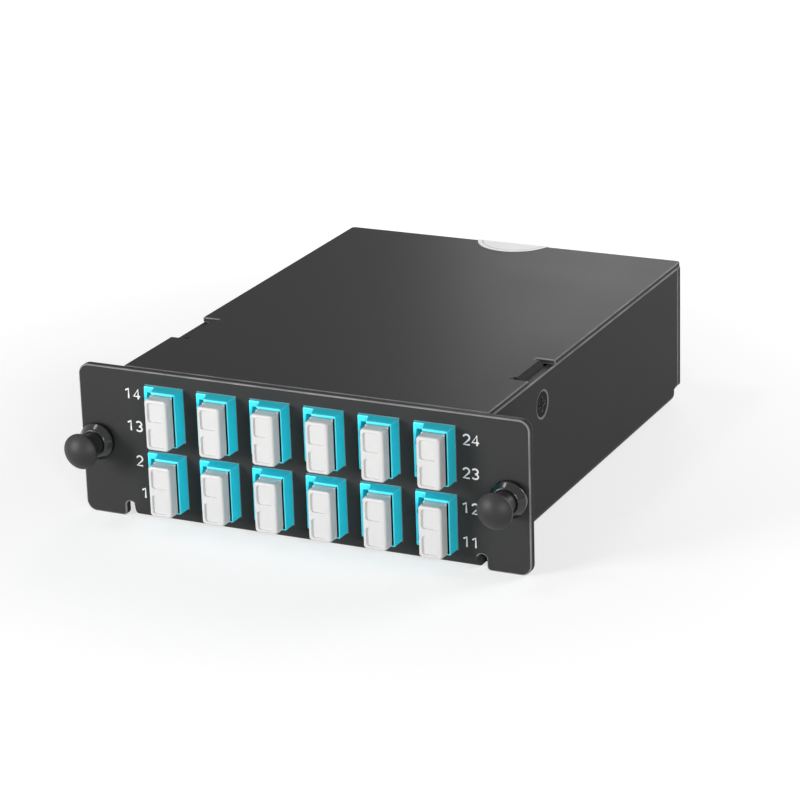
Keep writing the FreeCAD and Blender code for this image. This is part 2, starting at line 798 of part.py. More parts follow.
def make_rear_adapters():
    body = keep(new_body("rear_adapter_left"))
    pad_back(body, "sleeve", rear_start, rear_end - rear_start,
             box_corners(0, 0, s.rear_body_wide, s.rear_body_high))
    pad_back(body, "flange", s.case_deep, s.rear_flange_thick,
             box_corners(0, 0, s.rear_flange_wide, s.rear_flange_high))
    web_near, web_far = rear_meet - s.rear_web / 2, rear_meet + s.rear_web / 2
    cavity = box_corners(0, 0, s.rear_cavity_wide, s.rear_cavity_high)
    cut_back(body, "inner_cavity", rear_start, web_near - rear_start, cavity)
    cut_back(body, "outer_cavity", web_far, rear_end - web_far, cavity)
    cut_back(body, "window", web_near, s.rear_web,
             box_corners(0, 0, s.rear_window_wide, s.rear_window_high))
    for name, side in SIDES:
        wall = s.rear_body_wide * side / 2
        start = rear_inside - s.cutout_gap
        pad_up(body, name + "_snap", -s.snap_wide / 2, s.snap_wide, [
            (wall, start), (wall + s.snap_out * side, start), (wall, start - s.snap_long)])
    place_at_rear_ports(body, "rear_adapter_right")


def place_at_rear_ports(left, right_name):
    place(left, -s.rear_port_span / 2, 0, row_middle)
    place(linked_copy(left, right_name), s.rear_port_span / 2, 0, row_middle)


def make_rear_caps():
    body = keep(new_body("rear_cap_left"))
    wide, high = s.rear_cavity_wide - s.prong_gap * 2, s.rear_cavity_high - s.prong_gap * 2
    seat = rear_end + s.cap_seat
    pad_back(body, "grip", seat, s.rear_cap_head_long,
             box_corners(0, 0, s.rear_cap_head_wide, s.rear_cap_head_high))
    back = seat + s.rear_cap_head_long
    chamfer(body, "grip_edges", s.cap_edge,
            lambda middle: abs(middle.y - back.value) < 1e-6)
    nose_start = seat - s.rear_cap_nose
    pad_back(body, "nose", nose_start, s.rear_cap_nose, box_corners(0, 0, wide, high))
    cut_back(body, "nose_hollow", nose_start, s.rear_cap_nose - s.rear_cap_wall,
             box_corners(0, 0, wide - s.rear_cap_wall * 2, high - s.rear_cap_wall * 2))
    place_at_rear_ports(body, "rear_cap_right")


def make_rear_plugs():
    """The multi-fibre plugs inside the case, with their coupling sleeves and boots."""
    body = keep(new_body("rear_plug_left"))
    nose_end = rear_meet - s.rear_web / 2 - s.rear_nose_gap
    sleeve_end = rear_start - s.rear_nose_gap
    sleeve_start = sleeve_end - s.sleeve_long
    tail_start = sleeve_start - s.rear_tail_long
    pad_back(body, "nose", sleeve_end, nose_end - sleeve_end,
             box_corners(0, 0, s.rear_cavity_wide - s.plug_gap * 2, s.rear_cavity_high - s.plug_gap * 2))
    pad_back(body, "ferrule", nose_end, rear_meet - s.plug_gap - nose_end,
             box_corners(0, 0, s.ferrule_wide, s.ferrule_high))
    pad_back(body, "coupling_sleeve", sleeve_start, s.sleeve_long,
             box_corners(0, 0, s.sleeve_wide, s.sleeve_high))
    pad_back(body, "tail", tail_start, s.rear_tail_long,
             box_corners(0, 0, s.rear_tail_wide, s.rear_tail_high))
    turned_back("Revolution", body, "boot", [
        (0, rear_plug_end), (s.rear_boot_end, rear_plug_end), (s.rear_boot_start, tail_start),
        (0, tail_start)])
    place_at_rear_ports(body, "rear_plug_right")


# Fibres from the rear plugs to the duplex plugs, one harness for each row

def tangent_path(points, bends):
    """Straight runs through the points, joined by an arc of each bend's radius."""
    edges = []
    here = points[0]
    for before, corner, after, radius in zip(points, points[1:], points[2:], bends):
        back, on = (before - corner).normalize(), (after - corner).normalize()
        half_angle = back.getAngle(on) / 2
        start = corner + back * (radius / math.tan(half_angle))
        end = corner + on * (radius / math.tan(half_angle))
        inward = (back + on).normalize()
        middle = corner + inward * (radius / math.sin(half_angle) - radius)
        edges.append(Part.LineSegment(here, start).toShape())
        edges.append(Part.Arc(start, middle, end).toShape())
        here = end
    edges.append(Part.LineSegment(here, points[-1]).toShape())
    return Part.Wire(edges)


def tube(points, bends, radius):
    """A round tube along a tangent path."""
    start = points[0]
    section = Part.Wire(Part.makeCircle(radius, start, points[1] - start))
    return tangent_path(points, bends).makePipeShell([section], True, False)


def harness_height(side):
    """The height of the upper row for side 1 and of the lower row for side -1."""
    return row_place(0 if side < 0 else ROWS - 1).value


def trunk_points(side):
    """The trunk's route from its rear plug, round a loop and into the back of the block.

    Side 1 is the upper row's harness and side -1 the lower row's, which runs the other way round.
    """
    middle, block = row_middle.value, harness_height(side)
    far, near = s.rear_port_span.value / 2, s.block_shift.value
    plug, loop, level = rear_plug_end.value, loop_side.value, middle + s.loop_rise.value * side
    lead, front = plug - s.trunk_lead.value, plug - s.loop_deep.value
    back = (s.case_deep - s.turn_room).value
    block_back = (block_front + s.block_long).value
    route = [(far, plug, middle), (far, lead, middle), (far, front, level), (-loop, front, level),
             (-loop, back, block), (near, back, block), (near, block_back, block)]
    return [FreeCAD.Vector(x * side, y, z) for x, y, z in route]


def strand_points(column, side):
    """One strand's route from the front of the block to its duplex plug."""
    height = harness_height(side)
    exit_x = s.block_shift.value * side + s.strand_pitch.value * (column - (COLUMNS - 1) / 2)
    plug_x = (column_place(column) + s.port_shift).value
    front, end, lead = block_front.value, plug_end.value, s.strand_lead.value
    route = [(exit_x, front), (exit_x, front - lead), (plug_x, end + lead), (plug_x, end)]
    return [FreeCAD.Vector(x, y, height) for x, y in route]


def make_harness(name, side):
    """A trunk, the block where its fibres part, and a strand for each duplex plug."""
    height = harness_height(side)
    corner = FreeCAD.Vector(s.block_shift.value * side - s.block_wide.value / 2,
                            block_front.value, height - s.block_high.value / 2)
    block = Part.makeBox(s.block_wide.value, s.block_long.value, s.block_high.value, corner)
    bends = [s.loop_bend.value, s.loop_bend.value, s.loop_bend.value,
             s.turn_bend.value, s.turn_bend.value]
    tubes = [tube(trunk_points(side), bends, s.trunk_radius.value)]
    for column in range(COLUMNS):
        strand_bends = [s.strand_bend.value] * 2
        tubes.append(tube(strand_points(column, side), strand_bends, s.strand_radius.value))
    harness = keep(doc.addObject("Part::Feature", name))
    harness.Label = name
    harness.Shape = block.multiFuse(tubes)
    place(harness)


def make_holder():
    """The stand on the floor that holds both blocks, one above the other."""
    body = keep(new_body("block_holder"))
    play = s.holder_slot_gap * 2
    slots = [box_corners(s.block_shift * side, row_place(row),
                         s.block_wide + play, s.block_high + play)
             for row, (_, side) in enumerate(SIDES)]
    top = row_place(ROWS - 1) + s.block_high / 2 + s.holder_cap
    half, foot = s.holder_wide / 2, s.holder_foot_wide / 2
    foot_top = s.sheet_thick + s.holder_foot
    start = block_front + s.holder_in
    pad_back(body, "stand", start, s.holder_long, [
        (-foot, s.sheet_thick), (foot, s.sheet_thick), (foot, foot_top), (half, foot_top),
        (half, top), (-half, top), (-half, foot_top), (-foot, foot_top)])
    window_high = s.row_pitch - s.block_high - s.holder_cap * 2
    cut_back(body, "slots", start, s.holder_long, *slots,
             box_corners(0, (row_place(0) + row_place(ROWS - 1)) / 2,
                         s.holder_wide - s.holder_cap * 2, window_high))
    place(body)


# Seal: a round paper seal folded over the rear top edge

def make_seal():
    beyond = s.seal_radius - s.seal_top
    pieces = []
    for name, turn, centre_y, centre_z in (
            ("seal_top", 0, s.case_deep + beyond, cover_top),
            ("seal_back", 90, s.case_deep + s.seal_thick, cover_top - beyond)):
        disc = doc.addObject("Part::Cylinder", name + "_disc")
        bind(disc, "Radius", s.seal_radius)
        bind(disc, "Height", s.seal_thick)
        disc.Placement.Rotation = FreeCAD.Rotation(FreeCAD.Vector(1, 0, 0), turn)
        place(disc, 0, centre_y, centre_z)
        half = doc.addObject("Part::Box", name + "_limit")
        bind(half, "Length", s.seal_radius * 2)
        bind(half, "Width", s.seal_radius * 2)
        bind(half, "Height", s.seal_radius * 2)
        place(half, -s.seal_radius, s.case_deep + s.seal_thick - s.seal_radius * 2,
              cover_top + s.seal_thick - s.seal_radius * 2)
        cut = doc.addObject("Part::Common", name)
        cut.Base = disc
        cut.Tool = half
        pieces.append(cut)
    seal = keep(doc.addObject("Part::Fuse", "seal"))
    seal.Base, seal.Tool = pieces


def check_and_write():
    """Stops on anything that failed, then writes one file for each sub-part."""
    doc.recompute()
    for item in doc.Objects:
        if "Invalid" in item.State or "Error" in item.State:
            raise RuntimeError("%s failed: %s" % (item.Label, item.State))
    for subpart in subparts:
        if subpart.Shape.isNull() or not subpart.Shape.isValid():
            raise RuntimeError("%s has no sound shape" % subpart.Label)
    os.makedirs("parts", exist_ok=True)
    for subpart in subparts:
        subpart.Shape.exportStep("parts/%s.step" % subpart.Label)


make_tray()
make_cover()
make_cover_screws()
make_adapters()
make_dust_caps()
make_duplex_plugs()
make_grommets()
make_plungers()
make_rear_adapters()
make_rear_caps()
make_rear_plugs()
make_harness("fibre_harness_upper", 1)
make_harness("fibre_harness_lower", -1)
make_holder()
make_seal()
check_and_write()
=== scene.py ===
"""A fibre cassette dressed for its portrait.

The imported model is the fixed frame. Each of its pieces gets rounded edges and a finish of its own,
and what the model leaves out, such as the port numbers and the crosses of the screws, is added.
Sizes are in millimetres and are turned to metres where a mesh is made.
"""

from __future__ import annotations

import json
import logging
import math
from collections.abc import Callable
from dataclasses import dataclass, field
from enum import Enum

import bmesh
import bpy
from mathutils import Matrix, Vector

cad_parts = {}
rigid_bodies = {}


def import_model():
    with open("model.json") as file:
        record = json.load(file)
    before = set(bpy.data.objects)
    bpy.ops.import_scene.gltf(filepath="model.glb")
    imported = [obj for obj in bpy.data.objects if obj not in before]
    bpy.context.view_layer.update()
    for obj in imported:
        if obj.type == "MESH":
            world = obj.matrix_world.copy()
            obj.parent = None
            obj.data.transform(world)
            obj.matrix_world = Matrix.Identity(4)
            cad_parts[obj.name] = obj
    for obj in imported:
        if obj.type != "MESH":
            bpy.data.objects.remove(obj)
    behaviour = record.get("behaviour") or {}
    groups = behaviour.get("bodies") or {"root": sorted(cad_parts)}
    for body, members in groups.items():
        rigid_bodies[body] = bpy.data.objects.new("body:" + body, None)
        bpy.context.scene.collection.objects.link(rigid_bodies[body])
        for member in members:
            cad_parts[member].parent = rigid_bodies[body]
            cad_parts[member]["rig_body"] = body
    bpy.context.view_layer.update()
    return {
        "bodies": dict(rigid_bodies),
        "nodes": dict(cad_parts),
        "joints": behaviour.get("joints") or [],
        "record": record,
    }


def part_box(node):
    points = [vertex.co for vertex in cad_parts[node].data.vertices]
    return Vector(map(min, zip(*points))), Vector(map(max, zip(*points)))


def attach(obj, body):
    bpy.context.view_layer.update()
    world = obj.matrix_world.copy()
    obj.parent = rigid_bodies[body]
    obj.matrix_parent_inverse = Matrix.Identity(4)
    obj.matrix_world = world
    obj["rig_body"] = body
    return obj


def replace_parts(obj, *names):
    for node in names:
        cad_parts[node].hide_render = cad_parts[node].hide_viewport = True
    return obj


log = logging.getLogger("fibre_cassette")

MM = 0.001
# Name of the face mark on rounded edges, which take the painted edge light and shade
EDGE_MARK = "edge"
SIDES = ("left", "right")

Colour = tuple[float, float, float]
Point = tuple[float, float]


def grey(level: float) -> Colour:
    """The neutral colour of one level."""
    return (level, level, level)


class Slot(Enum):
    """Material slots of the record."""

    SHEET = "sheet_steel"
    SCREW = "screw_black"
    AQUA = "aqua"
    CAP = "cap_white"
    PLUG = "plug_beige"
    COLLAR = "collar_black"
    KNOB = "knob_grey"
    REAR = "rear_black"
    JACKET = "jacket_aqua"
    HOLDER = "holder_grey"
    SEAL = "seal_paper"


# Shader groups that several finishes share

TONE_LIMIT = 0.5
GRAIN_DETAIL = 2.0
GRAIN_HEIGHT = 0.02
CLOUDS_PER_METRE = 45.0
CLOUD_DETAIL = 3.0
PATCHES_PER_METRE = 160.0
PATCH_DETAIL = 3.0
PATCH_RANGE = (0.3, 0.7)
# Weakest share of the painted edge light and shade, where the noise breaks it up most
LEAST_EDGE_PAINT = 0.6


class ShaderGroup:
    """A node group with named inputs and outputs, filled by the methods of its makers."""

    def __init__(self, name: str, inputs: dict[str, float], outputs: dict[str, str]) -> None:
        """Makes the group and its sockets.

        Args:
            name: Name of the group.
            inputs: Default value of each input.
            outputs: Socket type of each output.
        """
        self.tree = bpy.data.node_groups.new(name, "ShaderNodeTree")
        for title, value in inputs.items():
            socket = self.tree.interface.new_socket(title, in_out="INPUT", socket_type="NodeSocketFloat")
            socket.default_value = value
        for title, kind in outputs.items():
            self.tree.interface.new_socket(title, in_out="OUTPUT", socket_type=kind)
        self.entry = self.tree.nodes.new("NodeGroupInput")
        self.exit = self.tree.nodes.new("NodeGroupOutput")

    def node(self, kind: str, **settings: object) -> bpy.types.Node:
        """Adds a node with its settings."""
        made = self.tree.nodes.new(kind)
        for key, value in settings.items():
            setattr(made, key, value)
        return made

    def link(self, start: bpy.types.NodeSocket, end: bpy.types.NodeSocket) -> None:
        """Joins two sockets."""
        self.tree.links.new(start, end)


def make_fine_grain() -> bpy.types.NodeTree:
    """A fine uneven surface, such as powder coat or spark-worn moulds give.

    Returns:
        The group, with a Normal and a Tone from -TONE_LIMIT to TONE_LIMIT.
    """
    group = ShaderGroup(
        "fine_grain",
        {"Grains per metre": 4000.0, "Depth": 0.1},
        {"Normal": "NodeSocketVector", "Tone": "NodeSocketFloat"},
    )
    place = group.node("ShaderNodeTexCoord")
    grain = group.node("ShaderNodeTexNoise")
    grain.inputs["Detail"].default_value = GRAIN_DETAIL
    cloud = group.node("ShaderNodeTexNoise")
    cloud.inputs["Scale"].default_value = CLOUDS_PER_METRE
    cloud.inputs["Detail"].default_value = CLOUD_DETAIL
    bump = group.node("ShaderNodeBump")
    bump.inputs["Distance"].default_value = GRAIN_HEIGHT * MM
    centred = group.node("ShaderNodeMath", operation="SUBTRACT")
    centred.inputs[1].default_value = TONE_LIMIT
    group.link(place.outputs["Object"], grain.inputs["Vector"])
    group.link(place.outputs["Object"], cloud.inputs["Vector"])
    group.link(group.entry.outputs["Grains per metre"], grain.inputs["Scale"])
    group.link(group.entry.outputs["Depth"], bump.inputs["Strength"])
    group.link(grain.outputs["Fac"], bump.inputs["Height"])
    group.link(cloud.outputs["Fac"], centred.inputs[0])
    group.link(bump.outputs["Normal"], group.exit.inputs["Normal"])
    group.link(centred.outputs["Value"], group.exit.inputs["Tone"])
    return group.tree


def make_painted_edge_light_and_shade() -> bpy.types.NodeTree:
    """Painted highlight along the rounded edges, broken up by a little noise, and a painted shade where a
    finish's edge colour is darker.

    Returns:
        The group, with a Mask from 0 to 1.
    """
    group = ShaderGroup("painted_edge_light_and_shade", {"Amount": 1.0}, {"Mask": "NodeSocketFloat"})
    mark = group.node("ShaderNodeAttribute", attribute_name=EDGE_MARK)
    place = group.node("ShaderNodeTexCoord")
    patch = group.node("ShaderNodeTexNoise")
    patch.inputs["Scale"].default_value = PATCHES_PER_METRE
    patch.inputs["Detail"].default_value = PATCH_DETAIL
    spread = group.node("ShaderNodeMapRange")
    spread.inputs["From Min"].default_value = PATCH_RANGE[0]
    spread.inputs["From Max"].default_value = PATCH_RANGE[1]
    spread.inputs["To Min"].default_value = LEAST_EDGE_PAINT
    marked = group.node("ShaderNodeMath", operation="MULTIPLY")
    scaled = group.node("ShaderNodeMath", operation="MULTIPLY", use_clamp=True)
    group.link(place.outputs["Object"], patch.inputs["Vector"])
    group.link(patch.outputs["Fac"], spread.inputs["Value"])
    group.link(mark.outputs["Fac"], marked.inputs[0])
    group.link(spread.outputs["Result"], marked.inputs[1])
    group.link(marked.outputs["Value"], scaled.inputs[0])
    group.link(group.entry.outputs["Amount"], scaled.inputs[1])
    group.link(scaled.outputs["Value"], group.exit.inputs["Mask"])
    return group.tree


@dataclass
class Effects:
    """The shader groups, made once."""

    fine_grain: bpy.types.NodeTree = field(default_factory=make_fine_grain)
    painted_edge_light_and_shade: bpy.types.NodeTree = field(default_factory=make_painted_edge_light_and_shade)


# Finishes


class ShaderMaker:
    """A material under construction, with its Principled shader."""

    def __init__(self, name: str) -> None:
        """Starts an empty material.

        Args:
            name: Name of the material.
        """
        self.material = bpy.data.materials.new(name)
        self.material.use_nodes = True
        self.nodes = self.material.node_tree.nodes
        self.links = self.material.node_tree.links
        self.shader = self.nodes["Principled BSDF"]

    def set(self, **values: object) -> None:
        """Sets inputs of the shader, with underscores for spaces in their names."""
        for key, value in values.items():
            title = key.replace("_", " ")
            self.shader.inputs[title].default_value = (*value, 1.0) if isinstance(value, tuple) else value

    def group(self, tree: bpy.types.NodeTree, **values: float) -> bpy.types.Node:
        """Places a shared group with its values.

        Args:
            tree: The group.
            values: Its inputs, with underscores for spaces in their names.

        Returns:
            The group's node.
        """
        made = self.nodes.new("ShaderNodeGroup")
        made.node_tree = tree
        for key, value in values.items():
            made.inputs[key.replace("_", " ")].default_value = value
        return made

    def math(self, operation: str, *terms: object, clamp: bool = False) -> bpy.types.NodeSocket:
        """Adds a Math node.

        Args:
            operation: Its operation.
            terms: Sockets or numbers.
            clamp: Whether the result stays from 0 to 1.

        Returns:
            Its result.
        """
        made = self.nodes.new("ShaderNodeMath")
        made.operation = operation
        made.use_clamp = clamp
        for place, term in enumerate(terms):
            if isinstance(term, (int, float)):
                made.inputs[place].default_value = term
            else:
                self.links.new(term, made.inputs[place])
        return made.outputs["Value"]

    def blend(self, factor: bpy.types.NodeSocket, low: object, high: object) -> bpy.types.NodeSocket:
        """Mixes two colours, each a socket or a colour, by a factor."""
        made = self.nodes.new("ShaderNodeMix")
        made.data_type = "RGBA"
        self.links.new(factor, made.inputs["Factor"])
        for place, colour in ((6, low), (7, high)):
            if isinstance(colour, tuple):
                made.inputs[place].default_value = (*colour, 1.0)
            else:
                self.links.new(colour, made.inputs[place])
        return made.outputs[2]

    def feed(self, title: str, source: bpy.types.NodeSocket) -> None:
        """Links a socket to an input of the shader."""
        self.links.new(source, self.shader.inputs[title])


@dataclass(frozen=True)
class GrainedFinish:
    """A coat or a moulded plastic with fine grain, whose rounded edges get a painted highlight; where the
    edge colour is darker than the colour, they get a painted shade.

    Attributes:
        darkest: Share of the colour where its tone is lowest.
        lightest: Share of the colour where its tone is highest.
        coat_roughness: Roughness of the clear coat, where there is one.
    """

    darkest = 0.9
    lightest = 1.1
    coat_roughness = 0.12

    name: str
    colour: Colour
    colour_spread: float
    roughness: float
    roughness_spread: float
    grains_per_mm: float
    grain_depth: float
    painted_edge_colour: Colour
    painted_edge_amount: float
    gloss: float = 0.5
    coat: float = 0.0

    def make(self, effects: Effects) -> bpy.types.Material:
        """Builds the material.

        Args:
            effects: The shared groups.

        Returns:
            The material.
        """
        maker = ShaderMaker(self.name)
        maker.set(
            Specular_IOR_Level=self.gloss, Coat_Weight=self.coat, Coat_Roughness=self.coat_roughness
        )
        grain = maker.group(
            effects.fine_grain, Grains_per_metre=self.grains_per_mm / MM, Depth=self.grain_depth
        )
        edge = maker.group(effects.painted_edge_light_and_shade, Amount=self.painted_edge_amount)
        tone = grain.outputs["Tone"]
        spread = maker.math("MULTIPLY", tone, self.colour_spread / TONE_LIMIT)
        lift = maker.math("ADD", spread, 0.5, clamp=True)
        dark = tuple(part * self.darkest for part in self.colour)
        light = tuple(min(part * self.lightest, 1.0) for part in self.colour)
        base = maker.blend(lift, dark, light)
        # Painted edge light and shade: the edge colour laid over the marked bevel faces
        maker.feed("Base Color", maker.blend(edge.outputs["Mask"], base, self.painted_edge_colour))
        rough = maker.math("MULTIPLY", tone, self.roughness_spread)
        maker.feed("Roughness", maker.math("ADD", rough, self.roughness, clamp=True))
        maker.feed("Normal", grain.outputs["Normal"])
        return maker.material


@dataclass(frozen=True)
class SealPaper:
    """White paper with a thin printed ring, which follows the paper round the case's edge."""

    name: str
    ring_radius: float
    ring_width: float
    paper: Colour
    ink: Colour
    gloss: float
    roughness: float
    roughness_spread: float
    grains_per_mm: float
    grain_depth: float

    def make(self, effects: Effects, centre: Vector, beyond: float) -> bpy.types.Material:
        """Builds the material.

        Args:
            effects: The shared groups.
            centre: Middle of the seal's two flat halves, each in its own plane, in metres.
            beyond: How far the seal's middle lies past the case's edge, in metres.

        Returns:
            The material.
        """
        maker = ShaderMaker(self.name)
        maker.set(Specular_IOR_Level=self.gloss)
        place = maker.nodes.new("ShaderNodeTexCoord")
        split = maker.nodes.new("ShaderNodeSeparateXYZ")
        maker.links.new(place.outputs["Object"], split.inputs["Vector"])
        inward = maker.math("SUBTRACT", centre.y, split.outputs["Y"])
        upward = maker.math("SUBTRACT", split.outputs["Z"], centre.z)
        along = maker.math("SUBTRACT", maker.math("ADD", inward, upward), beyond)
        square = maker.math("MULTIPLY", along, along)
        across = maker.math("MULTIPLY", split.outputs["X"], split.outputs["X"])
        far = maker.math("SQRT", maker.math("ADD", square, across))
        off = maker.math("ABSOLUTE", maker.math("SUBTRACT", far, self.ring_radius * MM))
        ring = maker.math("LESS_THAN", off, self.ring_width * MM / 2)
        grain = maker.group(
            effects.fine_grain, Grains_per_metre=self.grains_per_mm / MM, Depth=self.grain_depth
        )
        maker.feed("Base Color", maker.blend(ring, self.paper, self.ink))
        rough = maker.math("MULTIPLY", grain.outputs["Tone"], self.roughness_spread)
        maker.feed("Roughness", maker.math("ADD", rough, self.roughness))
        maker.feed("Normal", grain.outputs["Normal"])
        return maker.material


# Each finish's edge colour is a painted highlight on its rounded edges, lighter than its colour; on the
# caps it is darker, a painted shade
POWDER_COAT = GrainedFinish(
    name="charcoal_powder_coat", colour=grey(0.045), colour_spread=0.3, roughness=0.37,
    roughness_spread=0.08, grains_per_mm=4.5, grain_depth=0.25, painted_edge_colour=grey(0.28), painted_edge_amount=1.0,
    gloss=0.01,
)
AQUA_PLASTIC = GrainedFinish(
    name="aqua_plastic", colour=(0.028, 0.77, 1.0), colour_spread=0.1, roughness=0.34,
    roughness_spread=0.1, grains_per_mm=3.0, grain_depth=0.06, painted_edge_colour=(0.14, 0.86, 1.0),
    painted_edge_amount=0.8,
)
# Painted shade: the cap's edge colour is darker, for the borders of its dents and its chamfers
CAP_PLASTIC = GrainedFinish(
    name="white_cap_plastic", colour=(0.61, 0.61, 0.605), colour_spread=0.1, roughness=0.38,
    roughness_spread=0.1, grains_per_mm=3.0, grain_depth=0.05, painted_edge_colour=grey(0.56), painted_edge_amount=0.8,
)
PLUG_PLASTIC = GrainedFinish(
    name="beige_plug_plastic", colour=(0.60, 0.54, 0.41), colour_spread=0.2, roughness=0.4,
    roughness_spread=0.1, grains_per_mm=3.0, grain_depth=0.06, painted_edge_colour=(0.7, 0.65, 0.52),
    painted_edge_amount=0.5,
)
COLLAR_PLASTIC = GrainedFinish(
    name="glossy_black_plastic", colour=grey(0.006), colour_spread=0.2, roughness=0.2,
    roughness_spread=0.03, grains_per_mm=1.0, grain_depth=0.02, painted_edge_colour=grey(0.03), painted_edge_amount=0.4,
    gloss=0.4, coat=0.4,
)
KNOB_PLASTIC = GrainedFinish(
    name="satin_grey_plastic", colour=grey(0.02), colour_spread=0.2, roughness=0.48,
    roughness_spread=0.06, grains_per_mm=4.0, grain_depth=0.08, painted_edge_colour=grey(0.05), painted_edge_amount=0.5,
    gloss=0.32,
)
REAR_PLASTIC = GrainedFinish(
    name="black_port_plastic", colour=grey(0.02), colour_spread=0.3, roughness=0.45,
    roughness_spread=0.1, grains_per_mm=4.0, grain_depth=0.12, painted_edge_colour=grey(0.06), painted_edge_amount=0.6,
)
JACKET_PLASTIC = GrainedFinish(
    name="aqua_fibre_jacket", colour=(0.03, 0.42, 0.55), colour_spread=0.2, roughness=0.5,
    roughness_spread=0.1, grains_per_mm=2.0, grain_depth=0.1, painted_edge_colour=(0.1, 0.55, 0.65),
    painted_edge_amount=0.3,
)
HOLDER_PLASTIC = GrainedFinish(
    name="grey_holder_plastic", colour=grey(0.12), colour_spread=0.2, roughness=0.5,
    roughness_spread=0.1, grains_per_mm=3.0, grain_depth=0.1, painted_edge_colour=grey(0.2), painted_edge_amount=0.5,
)
# Painted highlight: the light edge colour makes a light ring round each screw head
SCREW_BLACK = GrainedFinish(
    name="blackened_screw_steel", colour=grey(0.01), colour_spread=0.3, roughness=0.4,
    roughness_spread=0.1, grains_per_mm=5.0, grain_depth=0.08, painted_edge_colour=grey(0.22), painted_edge_amount=0.9,
    gloss=0.02,
)
NUMBER_INK = GrainedFinish(
    name="white_number_ink", colour=grey(0.8), colour_spread=0.1, roughness=0.5,
    roughness_spread=0.1, grains_per_mm=5.0, grain_depth=0.1, painted_edge_colour=grey(0.9), painted_edge_amount=0.0,
)
SEAL_PAPER = SealPaper(
    name="seal_paper", ring_radius=8.5, ring_width=0.22, paper=(0.93, 0.93, 0.92), ink=grey(0.45),
    gloss=0.3, roughness=0.6, roughness_spread=0.1, grains_per_mm=5.0, grain_depth=0.15,
)


# Meshes


@dataclass(frozen=True)
class Rounding:
    """How the sharp edges of a piece are rounded.

    Its flat triangles are joined first where joined is set, and its large faces are kept flat in the
    shading where flattened is set.
    """

    width: float
    segments: int = 2
    sharp_from: float = 33.0
    joined: bool = True
    flattened: bool = True


